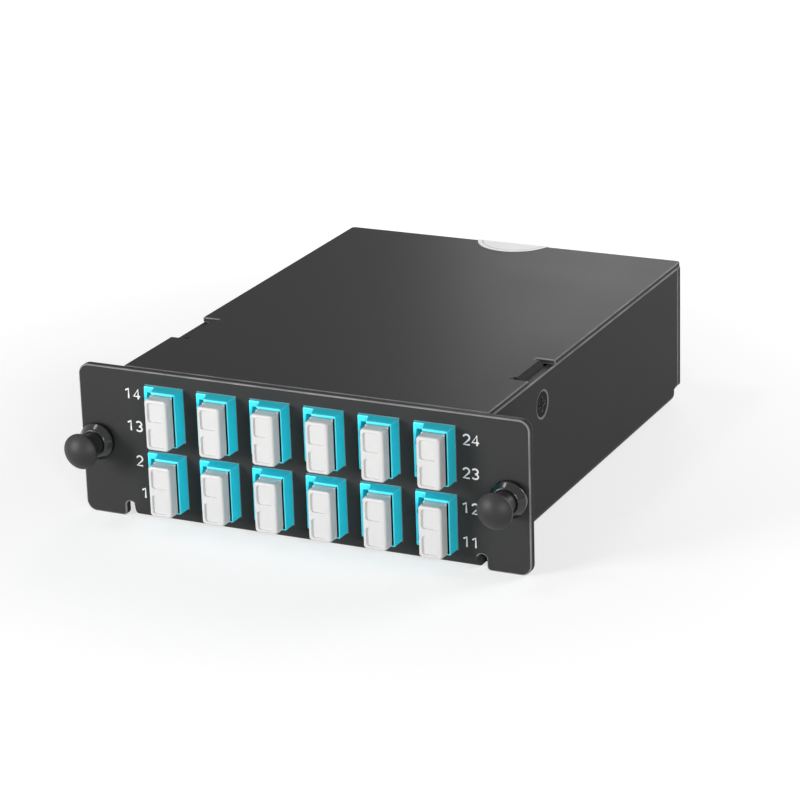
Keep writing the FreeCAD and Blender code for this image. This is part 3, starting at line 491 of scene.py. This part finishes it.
class Workshop:
    """Turns meshes into finished pieces that ride on their bodies.

    Attributes:
        merged_within: Corners closer than this become one, in millimetres.
        flat_within: Faces that meet at less than this are joined, in degrees.
        smooth_below: Edges are shaded smooth below this angle, in degrees.
        flat_weight: How much large faces lead the shading.
        fullest: Share of a side that roundings may use up.
        straight: Sine below which a corner counts as none.
    """

    merged_within = 0.0005
    flat_within = 0.2
    smooth_below = 50.0
    flat_weight = 50
    fullest = 0.95
    straight = 0.001

    def __init__(self, frame: dict) -> None:
        """Keeps the frame and makes the shader groups.
        """
        self.nodes = frame["nodes"]
        self.effects = Effects()

    def bare_copy(self, node: str, joined: bool) -> bmesh.types.BMesh:
        """A merged copy of a node's mesh, with its flat triangles joined where that is wanted."""
        mesh = bmesh.new()
        mesh.from_mesh(self.nodes[node].data)
        mesh.faces.layers.float.new(EDGE_MARK)
        bmesh.ops.remove_doubles(mesh, verts=mesh.verts, dist=self.merged_within * MM)
        if joined:
            bmesh.ops.dissolve_limit(
                mesh, angle_limit=math.radians(self.flat_within), use_dissolve_boundaries=False,
                verts=mesh.verts, edges=mesh.edges, delimit=set(),
            )
        return mesh

    def tight_edges(
        self, mesh: bmesh.types.BMesh, sharp: set[bmesh.types.BMEdge], width: float
    ) -> set[bmesh.types.BMEdge]:
        """The sharp edges whose rounding would use up a whole side of a face.

        Args:
            mesh: The mesh.
            sharp: The edges that would be rounded.
            width: Width of the rounding on each face, in metres.

        Returns:
            Those of the sharp edges that have no room.
        """
        tight = set()
        for face in mesh.faces:
            for start in face.loops:
                end = start.link_loop_next
                used, takers = 0.0, set()
                for corner, beside in ((start, start.link_loop_prev.edge), (end, end.edge)):
                    takers |= {start.edge, beside} & sharp
                    used += self.used_length(corner, start.edge in sharp, beside in sharp, width)
                if used > start.edge.calc_length() * self.fullest:
                    tight |= takers
        return tight

    def used_length(self, corner: bmesh.types.BMLoop, own: bool, beside: bool, width: float) -> float:
        """Length that a corner's rounding takes off one side of a face.

        Args:
            corner: The face's corner.
            own: Whether the side itself is rounded.
            beside: Whether the other side at the corner is rounded.
            width: Width of the rounding, in metres.

        Returns:
            The length in metres.
        """
        angle = corner.calc_angle() if corner.is_convex else math.tau - corner.calc_angle()
        if own and beside:
            return width / math.tan(angle / 2)
        if abs(math.sin(angle)) < self.straight or not (own or beside):
            return 0.0
        return max(width / math.tan(angle), 0.0) if own else width / abs(math.sin(angle))

    def round_edges(self, mesh: bmesh.types.BMesh, rounding: Rounding) -> None:
        """Bevels the sharp edges and marks the new faces, which take the painted edge light and shade.

        Args:
            mesh: The mesh, which has the edge mark's layer.
            rounding: Width and fineness of the rounding.
        """
        limit = math.radians(rounding.sharp_from)
        width = rounding.width * MM
        sharp = {e for e in mesh.edges if len(e.link_faces) == 2 and e.calc_face_angle(0.0) > limit}
        while tight := self.tight_edges(mesh, sharp, width):
            sharp -= tight
        made = bmesh.ops.bevel(
            mesh, geom=[edge for edge in mesh.edges if edge in sharp], offset=width,
            offset_type="OFFSET", affect="EDGES", segments=rounding.segments, profile=0.5, material=-1,
            clamp_overlap=False,
        )
        mark = mesh.faces.layers.float[EDGE_MARK]
        for face in made["faces"]:
            face[mark] = 1.0

    def finish(
        self, mesh: bmesh.types.BMesh, name: str, body: str, material: bpy.types.Material,
        flattened: bool = True,
    ) -> bpy.types.Object:
        """Makes a piece of a mesh, smooth where its faces meet at a low angle.

        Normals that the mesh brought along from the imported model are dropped.

        Args:
            mesh: The mesh in the frame's own place. It is freed.
            name: Name of the piece.
            body: The body it rides on.
            material: Its material.
            flattened: Whether its large faces are kept flat in the shading.

        Returns:
            The piece.
        """
        data = bpy.data.meshes.new(name)
        mesh.to_mesh(data)
        mesh.free()
        model_normals = data.attributes.get("custom_normal")
        if model_normals:
            data.attributes.remove(model_normals)
        data.materials.append(material)
        data.shade_smooth()
        data.set_sharp_from_angle(angle=math.radians(self.smooth_below))
        piece = bpy.data.objects.new(name, data)
        bpy.context.scene.collection.objects.link(piece)
        if flattened:
            flat = piece.modifiers.new("flat_faces", "WEIGHTED_NORMAL")
            flat.mode = "FACE_AREA"
            flat.weight = self.flat_weight
            flat.keep_sharp = True
        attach(piece, body)
        log.info("%s: %d faces", name, len(data.polygons))
        return piece

    def dress(
        self, nodes: list[str], rounding: Rounding, material: bpy.types.Material,
        shape: Callable[[bmesh.types.BMesh], None] | None = None,
    ) -> list[bpy.types.Object]:
        """Stands a rounded copy in for each of several nodes of one shape.

        Args:
            nodes: The nodes. Their shape is taken from the first.
            rounding: How their edges are rounded.
            material: Their material.
            shape: What is done to the mesh before its edges are rounded.

        Returns:
            The pieces.
        """
        master = self.bare_copy(nodes[0], rounding.joined)
        if shape:
            shape(master)
        self.round_edges(master, rounding)
        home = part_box(nodes[0])[0]
        pieces = []
        for node in nodes:
            copy = master.copy()
            bmesh.ops.translate(copy, verts=copy.verts, vec=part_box(node)[0] - home)
            body = self.nodes[node]["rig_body"]
            piece = self.finish(copy, node + "_dressed", body, material, rounding.flattened)
            pieces.append(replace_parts(piece, node))
        master.free()
        return pieces


# Sub-assemblies


@dataclass
class SheetCase:
    """The folded tray and its cover."""

    tray_rounding: Rounding = Rounding(0.3)
    cover_rounding: Rounding = Rounding(0.24)

    def build(self, shop: Workshop) -> None:
        """Dresses the tray and the cover."""
        coat = POWDER_COAT.make(shop.effects)
        shop.dress(["case_tray"], self.tray_rounding, coat)
        shop.dress(["cover"], self.cover_rounding, coat)


@dataclass
class PortField:
    """The duplex adapters of the panel with their dust caps and the plugs behind them."""

    count: int = 12
    adapter_rounding: Rounding = Rounding(0.26)
    cap_rounding: Rounding = Rounding(0.14)
    plug_rounding: Rounding = Rounding(0.14)

    def names(self, family: str) -> list[str]:
        """The nodes of one family."""
        return [f"{family}_{number:02d}" for number in range(1, self.count + 1)]

    def build(self, shop: Workshop) -> None:
        """Dresses the three families."""
        aqua = AQUA_PLASTIC.make(shop.effects)
        shop.dress(self.names("adapter"), self.adapter_rounding, aqua)
        shop.dress(self.names("dust_cap"), self.cap_rounding, CAP_PLASTIC.make(shop.effects))
        beige = PLUG_PLASTIC.make(shop.effects)
        shop.dress(self.names("duplex_plug"), self.plug_rounding, beige)


@dataclass
class Latches:
    """The push-in latches: a glossy collar and a satin knob in each ear."""

    collar_rounding: Rounding = Rounding(0.12)
    knob_rounding: Rounding = Rounding(0.12, joined=False, flattened=False)

    def build(self, shop: Workshop) -> None:
        """Dresses both latches."""
        collars = [f"grommet_{side}" for side in SIDES]
        knobs = [f"plunger_{side}" for side in SIDES]
        shop.dress(collars, self.collar_rounding, COLLAR_PLASTIC.make(shop.effects))
        shop.dress(knobs, self.knob_rounding, KNOB_PLASTIC.make(shop.effects))


@dataclass
class RearPorts:
    """The multi-fibre adapters of the rear wall, their caps and the plugs inside."""

    adapter_rounding: Rounding = Rounding(0.25)
    cap_rounding: Rounding = Rounding(0.3, segments=3)
    plug_rounding: Rounding = Rounding(0.2)

    def build(self, shop: Workshop) -> None:
        """Dresses the pieces of both ports."""
        black = REAR_PLASTIC.make(shop.effects)
        for family, rounding in (
            ("rear_adapter", self.adapter_rounding),
            ("rear_cap", self.cap_rounding),
            ("rear_plug", self.plug_rounding),
        ):
            shop.dress([f"{family}_{side}" for side in SIDES], rounding, black)


@dataclass
class FibreRun:
    """The two harnesses and the holder of their blocks."""

    harness_rounding: Rounding = Rounding(0.1)
    holder_rounding: Rounding = Rounding(0.3)

    def build(self, shop: Workshop) -> None:
        """Dresses the harnesses and the holder."""
        jacket = JACKET_PLASTIC.make(shop.effects)
        for level in ("upper", "lower"):
            shop.dress([f"fibre_harness_{level}"], self.harness_rounding, jacket)
        holder = HOLDER_PLASTIC.make(shop.effects)
        shop.dress(["block_holder"], self.holder_rounding, holder)


@dataclass
class Seal:
    """The round seal that is folded over the rear top edge."""

    radius: float = 9.65
    rounding: Rounding = Rounding(0.03)

    def build(self, shop: Workshop) -> None:
        """Dresses the seal."""
        low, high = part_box("seal")
        middle = Vector((0.0, low.y + self.radius * MM, low.z + self.radius * MM))
        beyond = high.z - middle.z
        paper = SEAL_PAPER.make(shop.effects, middle, beyond)
        shop.dress(["seal"], self.rounding, paper)


def bend(middle: Point, radii: Point, start: float, end: float, steps: int = 10) -> list[Point]:
    """Points along an elliptic arc, with its ends in degrees."""
    turns = [math.radians(start + (end - start) * step / steps) for step in range(steps + 1)]
    return [(middle[0] + radii[0] * math.cos(a), middle[1] + radii[1] * math.sin(a)) for a in turns]


# The strokes of each digit in a box one high, from its left foot
DIGITS: dict[str, list[list[Point]]] = {
    "1": [[(0.06, 0.76), (0.32, 0.92), (0.32, 0.08)]],
    "2": [[*bend((0.32, 0.67), (0.24, 0.25), 165, -35), (0.09, 0.08), (0.58, 0.08)]],
    "3": [bend((0.3, 0.71), (0.23, 0.21), 150, -90), bend((0.3, 0.29), (0.25, 0.21), 90, -150)],
    "4": [[(0.44, 0.08), (0.44, 0.92), (0.06, 0.32), (0.6, 0.32)]],
}


@dataclass
class PortNumbers:
    """White numbers on the panel, each with the place of its left end and of its middle height."""

    digit_high: float = 2.68
    digit_step: float = 2.08
    stretch: float = 1.1
    stroke: float = 0.4
    proud: float = 0.02
    places: tuple[tuple[str, float, float], ...] = (
        ("14", -42.8, 29.4), ("13", -42.65, 21.85), ("2", -40.95, 13.7), ("1", -39.95, 6.1),
        ("24", 39.1, 29.2), ("23", 38.9, 21.65), ("12", 38.7, 13.7), ("11", 38.65, 5.9),
    )

    def strokes(self, text: str) -> bpy.types.Curve:
        """The strokes of a number as round wires, one unit high."""
        curve = bpy.data.curves.new("number_" + text, "CURVE")
        curve.dimensions = "3D"
        curve.bevel_depth = self.stroke / self.digit_high / 2
        curve.bevel_resolution = 2
        curve.use_fill_caps = True
        for place, digit in enumerate(text):
            shift = place * self.digit_step / self.digit_high
            for stroke in DIGITS[digit]:
                spline = curve.splines.new("POLY")
                spline.points.add(len(stroke) - 1)
                for point, (across, up) in zip(spline.points, stroke):
                    point.co = (across * self.stretch + shift, 0.0, up - 0.5, 1.0)
        return curve

    def numeral(self, text: str, start: float, height: float, panel: float) -> bmesh.types.BMesh:
        """One number as thin strokes that face the front.

        Args:
            text: The number.
            start: Left end of its first digit, in millimetres.
            height: Middle of its height on the panel, in millimetres.
            panel: Depth of the panel's front face, in metres.

        Returns:
            The mesh.
        """
        curve = self.strokes(text)
        holder = bpy.data.objects.new("number_" + text, curve)
        solid = bpy.data.meshes.new_from_object(holder)
        mesh = bmesh.new()
        mesh.from_mesh(solid)
        bpy.data.objects.remove(holder)
        bpy.data.curves.remove(curve)
        bpy.data.meshes.remove(solid)
        mesh.faces.layers.float.new(EDGE_MARK)
        size = self.digit_high * MM
        thin = self.proud / self.stroke * self.digit_high * 2 * MM
        bmesh.ops.scale(mesh, verts=mesh.verts, vec=(size, thin, size))
        bmesh.ops.translate(mesh, verts=mesh.verts, vec=(start * MM, panel, height * MM))
        bmesh.ops.recalc_face_normals(mesh, faces=mesh.faces)
        return mesh

    def build(self, shop: Workshop) -> None:
        """Prints the numbers beside the outer columns of adapters."""
        ink = NUMBER_INK.make(shop.effects)
        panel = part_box("case_tray")[0].y
        body = shop.nodes["case_tray"]["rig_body"]
        for text, start, height in self.places:
            mesh = self.numeral(text, start, height, panel)
            shop.finish(mesh, "number_" + text, body, ink)


@dataclass
class CoverScrews:
    """Countersunk screws with a cross in the head."""

    rounding: Rounding = Rounding(0.07)
    cross_long: float = 3.4
    cross_wide: float = 0.8
    cross_deep: float = 1.1
    cross_taper: float = 0.55
    on_face: float = 0.001
    cut_within: float = 0.0001

    def head_faces(self, mesh: bmesh.types.BMesh, face_x: float) -> list[bmesh.types.BMFace]:
        """The faces that lie in the plane across X at one place."""
        near = self.on_face * MM
        return [f for f in mesh.faces if all(abs(v.co.x - face_x) < near for v in f.verts)]

    def score(self, mesh: bmesh.types.BMesh, middle: Vector, face_x: float) -> None:
        """Cuts the outer faces of both heads along the sides of the cross.

        Args:
            mesh: The screws.
            middle: Middle between both heads, in metres.
            face_x: Distance of the outer faces from the middle plane, in metres.
        """
        reach, half = self.cross_long / 2 * MM, self.cross_wide / 2 * MM
        for axis in ("y", "z"):
            for offset in (-reach, -half, half, reach):
                point, normal = middle.copy(), Vector()
                setattr(point, axis, getattr(middle, axis) + offset)
                setattr(normal, axis, 1.0)
                heads = self.head_faces(mesh, -face_x) + self.head_faces(mesh, face_x)
                edges = dict.fromkeys(edge for face in heads for edge in face.edges)
                corners = dict.fromkeys(vertex for face in heads for vertex in face.verts)
                bmesh.ops.bisect_plane(
                    mesh, geom=[*heads, *edges, *corners], dist=self.cut_within * MM, plane_co=point,
                    plane_no=normal,
                )

    def sink(self, mesh: bmesh.types.BMesh, middle: Vector, face_x: float) -> None:
        """Pushes the cross of one head in, narrower towards its bottom.

        Args:
            mesh: The screws, with their heads scored.
            middle: Middle between both heads, in metres.
            face_x: Place of the head's outer face, in metres.
        """
        reach, half = self.cross_long / 2 * MM, self.cross_wide / 2 * MM
        inside = []
        for face in self.head_faces(mesh, face_x):
            spot = face.calc_center_median() - middle
            far, near = max(abs(spot.y), abs(spot.z)), min(abs(spot.y), abs(spot.z))
            if far < reach and near < half:
                inside.append(face)
        sunk = bmesh.ops.extrude_face_region(mesh, geom=inside)["geom"]
        moved = [part for part in sunk if isinstance(part, bmesh.types.BMVert)]
        bmesh.ops.delete(mesh, geom=inside, context="FACES_ONLY")
        inward = math.copysign(self.cross_deep * MM, -face_x)
        bmesh.ops.translate(mesh, verts=moved, vec=(inward, 0.0, 0.0))
        centre = Matrix.Translation(-Vector((0.0, middle.y, middle.z)))
        taper = (1.0, self.cross_taper, self.cross_taper)
        bmesh.ops.scale(mesh, verts=moved, vec=taper, space=centre)

    def cut_cross(self, mesh: bmesh.types.BMesh) -> None:
        """Sinks a cross into the outer face of each screw's head."""
        low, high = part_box("cover_screws")
        middle = (low + high) / 2
        face_x = max(abs(vertex.co.x) for vertex in mesh.verts)
        self.score(mesh, middle, face_x)
        for side in (-1.0, 1.0):
            self.sink(mesh, middle, face_x * side)
        bmesh.ops.recalc_face_normals(mesh, faces=mesh.faces)

    def build(self, shop: Workshop) -> None:
        """Dresses the screws."""
        black = SCREW_BLACK.make(shop.effects)
        shop.dress(["cover_screws"], self.rounding, black, self.cut_cross)


# Studio


@dataclass(frozen=True)
class Lamp:
    """A square soft lamp that looks at a point."""

    name: str
    place: tuple[float, float, float]
    aim: tuple[float, float, float]
    side: float
    watts: float

    def build(self) -> None:
        """Hangs the lamp."""
        light = bpy.data.lights.new(self.name, "AREA")
        light.shape = "SQUARE"
        light.size = self.side * MM
        light.energy = self.watts
        lamp = bpy.data.objects.new(self.name, light)
        bpy.context.scene.collection.objects.link(lamp)
        lamp.location = Vector(self.place) * MM
        way = (Vector(self.aim) - Vector(self.place)).normalized()
        lamp.rotation_mode = "QUATERNION"
        lamp.rotation_quaternion = way.to_track_quat("-Z", "Y")
        lamp.visible_camera = False


@dataclass
class Studio:
    """Camera, floor, lamps and the white surroundings, in millimetres and degrees."""

    azimuth: float = 25.743
    elevation: float = 19.316
    roll: float = -1.754
    distance: float = 716.96
    target: tuple[float, float, float] = (0.0, -5.175, 17.5)
    lens: float = 139.0
    sensor: float = 36.0
    shift: tuple[float, float] = (-0.0086, -0.0142)
    clip: tuple[float, float] = (10.0, 20000.0)
    floor_side: float = 6000.0
    floor_drop: float = 0.02
    floor_bounce: float = 0.8
    ambient: float = 0.16
    floor_colour: float = 0.47
    # The glow is lower near the middle, where the object stands: a painted shadow, besides the real
    # shadow that the floor's diffuse part catches
    glow_in_painted_shadow: float = 0.62
    glow_far: float = 1.0
    painted_shadow_reach: tuple[float, float] = (80.0, 330.0)
    lamps: tuple[Lamp, ...] = (
        Lamp("front_left_low", (-420.0, -560.0, 190.0), (0.0, -60.0, 15.0), 280.0, 3.9),
        Lamp("overhead", (-270.0, -140.0, 600.0), (0.0, 0.0, 20.0), 110.0, 0.35),
        Lamp("rear_glint", (-100.0, 440.0, 160.0), (20.0, 40.0, 35.0), 160.0, 0.47),
        Lamp("right_fill", (250.0, 200.0, 190.0), (40.0, 20.0, 15.0), 150.0, 0.55),
        Lamp("front_right", (440.0, -640.0, 200.0), (0.0, -60.0, 15.0), 260.0, 2.6),
    )

    def camera(self) -> None:
        """Sets the camera at the portrait's angle."""
        turn, lift = math.radians(self.azimuth), math.radians(self.elevation)
        back = Vector((math.sin(turn) * math.cos(lift), -math.cos(turn) * math.cos(lift), math.sin(lift)))
        right = (-back).cross(Vector((0.0, 0.0, 1.0))).normalized()
        up = right.cross(-back)
        lean = math.radians(self.roll)
        across = right * math.cos(lean) + up * math.sin(lean)
        upward = up * math.cos(lean) - right * math.sin(lean)
        data = bpy.data.cameras.new("portrait")
        data.sensor_width = self.sensor
        data.lens = self.lens
        data.shift_x, data.shift_y = self.shift
        data.clip_start, data.clip_end = self.clip[0] * MM, self.clip[1] * MM
        camera = bpy.data.objects.new("portrait", data)
        bpy.context.scene.collection.objects.link(camera)
        place = Vector(self.target) * MM + back * (self.distance * MM)
        turned = Matrix((across, upward, back)).transposed().to_4x4()
        camera.matrix_world = Matrix.Translation(place) @ turned
        bpy.context.scene.camera = camera

    def seen_rays(self, tree: bpy.types.NodeTree) -> bpy.types.NodeSocket:
        """A factor of 1 for what the camera sees, also in a reflection or through glass.

        Args:
            tree: The node tree that gets the nodes.

        Returns:
            The factor.
        """
        ray = tree.nodes.new("ShaderNodeLightPath")
        factor = ray.outputs["Is Camera Ray"]
        for kind in ("Is Glossy Ray", "Is Transmission Ray"):
            either = tree.nodes.new("ShaderNodeMath")
            either.operation = "MAXIMUM"
            tree.links.new(factor, either.inputs[0])
            tree.links.new(ray.outputs[kind], either.inputs[1])
            factor = either.outputs["Value"]
        return factor

    def show(
        self, tree: bpy.types.NodeTree, unseen: bpy.types.NodeSocket, seen: bpy.types.NodeSocket, end: str
    ) -> None:
        """Gives the camera's rays one shader and the light's rays another.

        Args:
            tree: The node tree.
            unseen: The shader that lights the object.
            seen: The shader that is seen.
            end: Kind of the output node.
        """
        mixed = tree.nodes.new("ShaderNodeMixShader")
        tree.links.new(self.seen_rays(tree), mixed.inputs["Fac"])
        tree.links.new(unseen, mixed.inputs[1])
        tree.links.new(seen, mixed.inputs[2])
        tree.links.new(mixed.outputs["Shader"], tree.nodes.new(end).inputs["Surface"])

    def floor_material(self) -> bpy.types.Material:
        """A pale matt floor that glows a little, more so further out; its dimmer middle is a painted
        shadow around the object.
        """
        material = bpy.data.materials.new("pale_floor")
        material.use_nodes = True
        nodes, links = material.node_tree.nodes, material.node_tree.links
        nodes.clear()
        plain = nodes.new("ShaderNodeBsdfDiffuse")
        plain.inputs["Color"].default_value = (*grey(self.floor_bounce), 1.0)
        soft = nodes.new("ShaderNodeBsdfDiffuse")
        soft.inputs["Color"].default_value = (*grey(self.floor_colour), 1.0)
        glow = nodes.new("ShaderNodeEmission")
        place = nodes.new("ShaderNodeTexCoord")
        far = nodes.new("ShaderNodeVectorMath")
        far.operation = "LENGTH"
        links.new(place.outputs["Object"], far.inputs[0])
        # Painted shadow: the glow fades from full further out to dimmer round the object
        painted_shadow_fade = nodes.new("ShaderNodeMapRange")
        painted_shadow_fade.interpolation_type = "SMOOTHSTEP"
        painted_shadow_fade.inputs["From Min"].default_value = self.painted_shadow_reach[0] * MM
        painted_shadow_fade.inputs["From Max"].default_value = self.painted_shadow_reach[1] * MM
        painted_shadow_fade.inputs["To Min"].default_value = self.glow_in_painted_shadow
        painted_shadow_fade.inputs["To Max"].default_value = self.glow_far
        links.new(far.outputs["Value"], painted_shadow_fade.inputs["Value"])
        links.new(painted_shadow_fade.outputs["Result"], glow.inputs["Strength"])
        seen = nodes.new("ShaderNodeAddShader")
        links.new(soft.outputs["BSDF"], seen.inputs[0])
        links.new(glow.outputs["Emission"], seen.inputs[1])
        self.show(
            material.node_tree, plain.outputs["BSDF"], seen.outputs["Shader"], "ShaderNodeOutputMaterial"
        )
        return material

    def floor(self) -> None:
        """Lays a pale floor that keeps the object's shadow."""
        mesh = bmesh.new()
        bmesh.ops.create_grid(mesh, x_segments=1, y_segments=1, size=self.floor_side * MM / 2)
        bmesh.ops.translate(mesh, verts=mesh.verts, vec=(0.0, 0.0, -self.floor_drop * MM))
        data = bpy.data.meshes.new("floor")
        mesh.to_mesh(data)
        mesh.free()
        data.materials.append(self.floor_material())
        piece = bpy.data.objects.new("floor", data)
        bpy.context.scene.collection.objects.link(piece)

    def surroundings(self) -> None:
        """Makes the world white to the camera and to reflections, and dimmer as a light."""
        world = bpy.data.worlds.new("white_studio")
        bpy.context.scene.world = world
        world.use_nodes = True
        tree = world.node_tree
        tree.nodes.clear()
        dim = tree.nodes.new("ShaderNodeBackground")
        dim.inputs["Strength"].default_value = self.ambient
        white = tree.nodes.new("ShaderNodeBackground")
        self.show(tree, dim.outputs["Background"], white.outputs["Background"], "ShaderNodeOutputWorld")

    def build(self) -> None:
        """Sets up the whole studio."""
        bpy.context.scene.view_settings.view_transform = "Standard"
        self.camera()
        self.floor()
        self.surroundings()
        for lamp in self.lamps:
            lamp.build()


def main() -> None:
    """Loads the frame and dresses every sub-assembly."""
    logging.basicConfig(level=logging.INFO, format="%(name)s %(message)s")
    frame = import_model()
    Studio().build()
    shop = Workshop(frame)
    for assembly in (
        SheetCase(), PortField(), Latches(), RearPorts(), FibreRun(), Seal(), PortNumbers(), CoverScrews()
    ):
        assembly.build(shop)
        log.info("%s built", type(assembly).__name__)


if __name__ == "__main__":
    main()
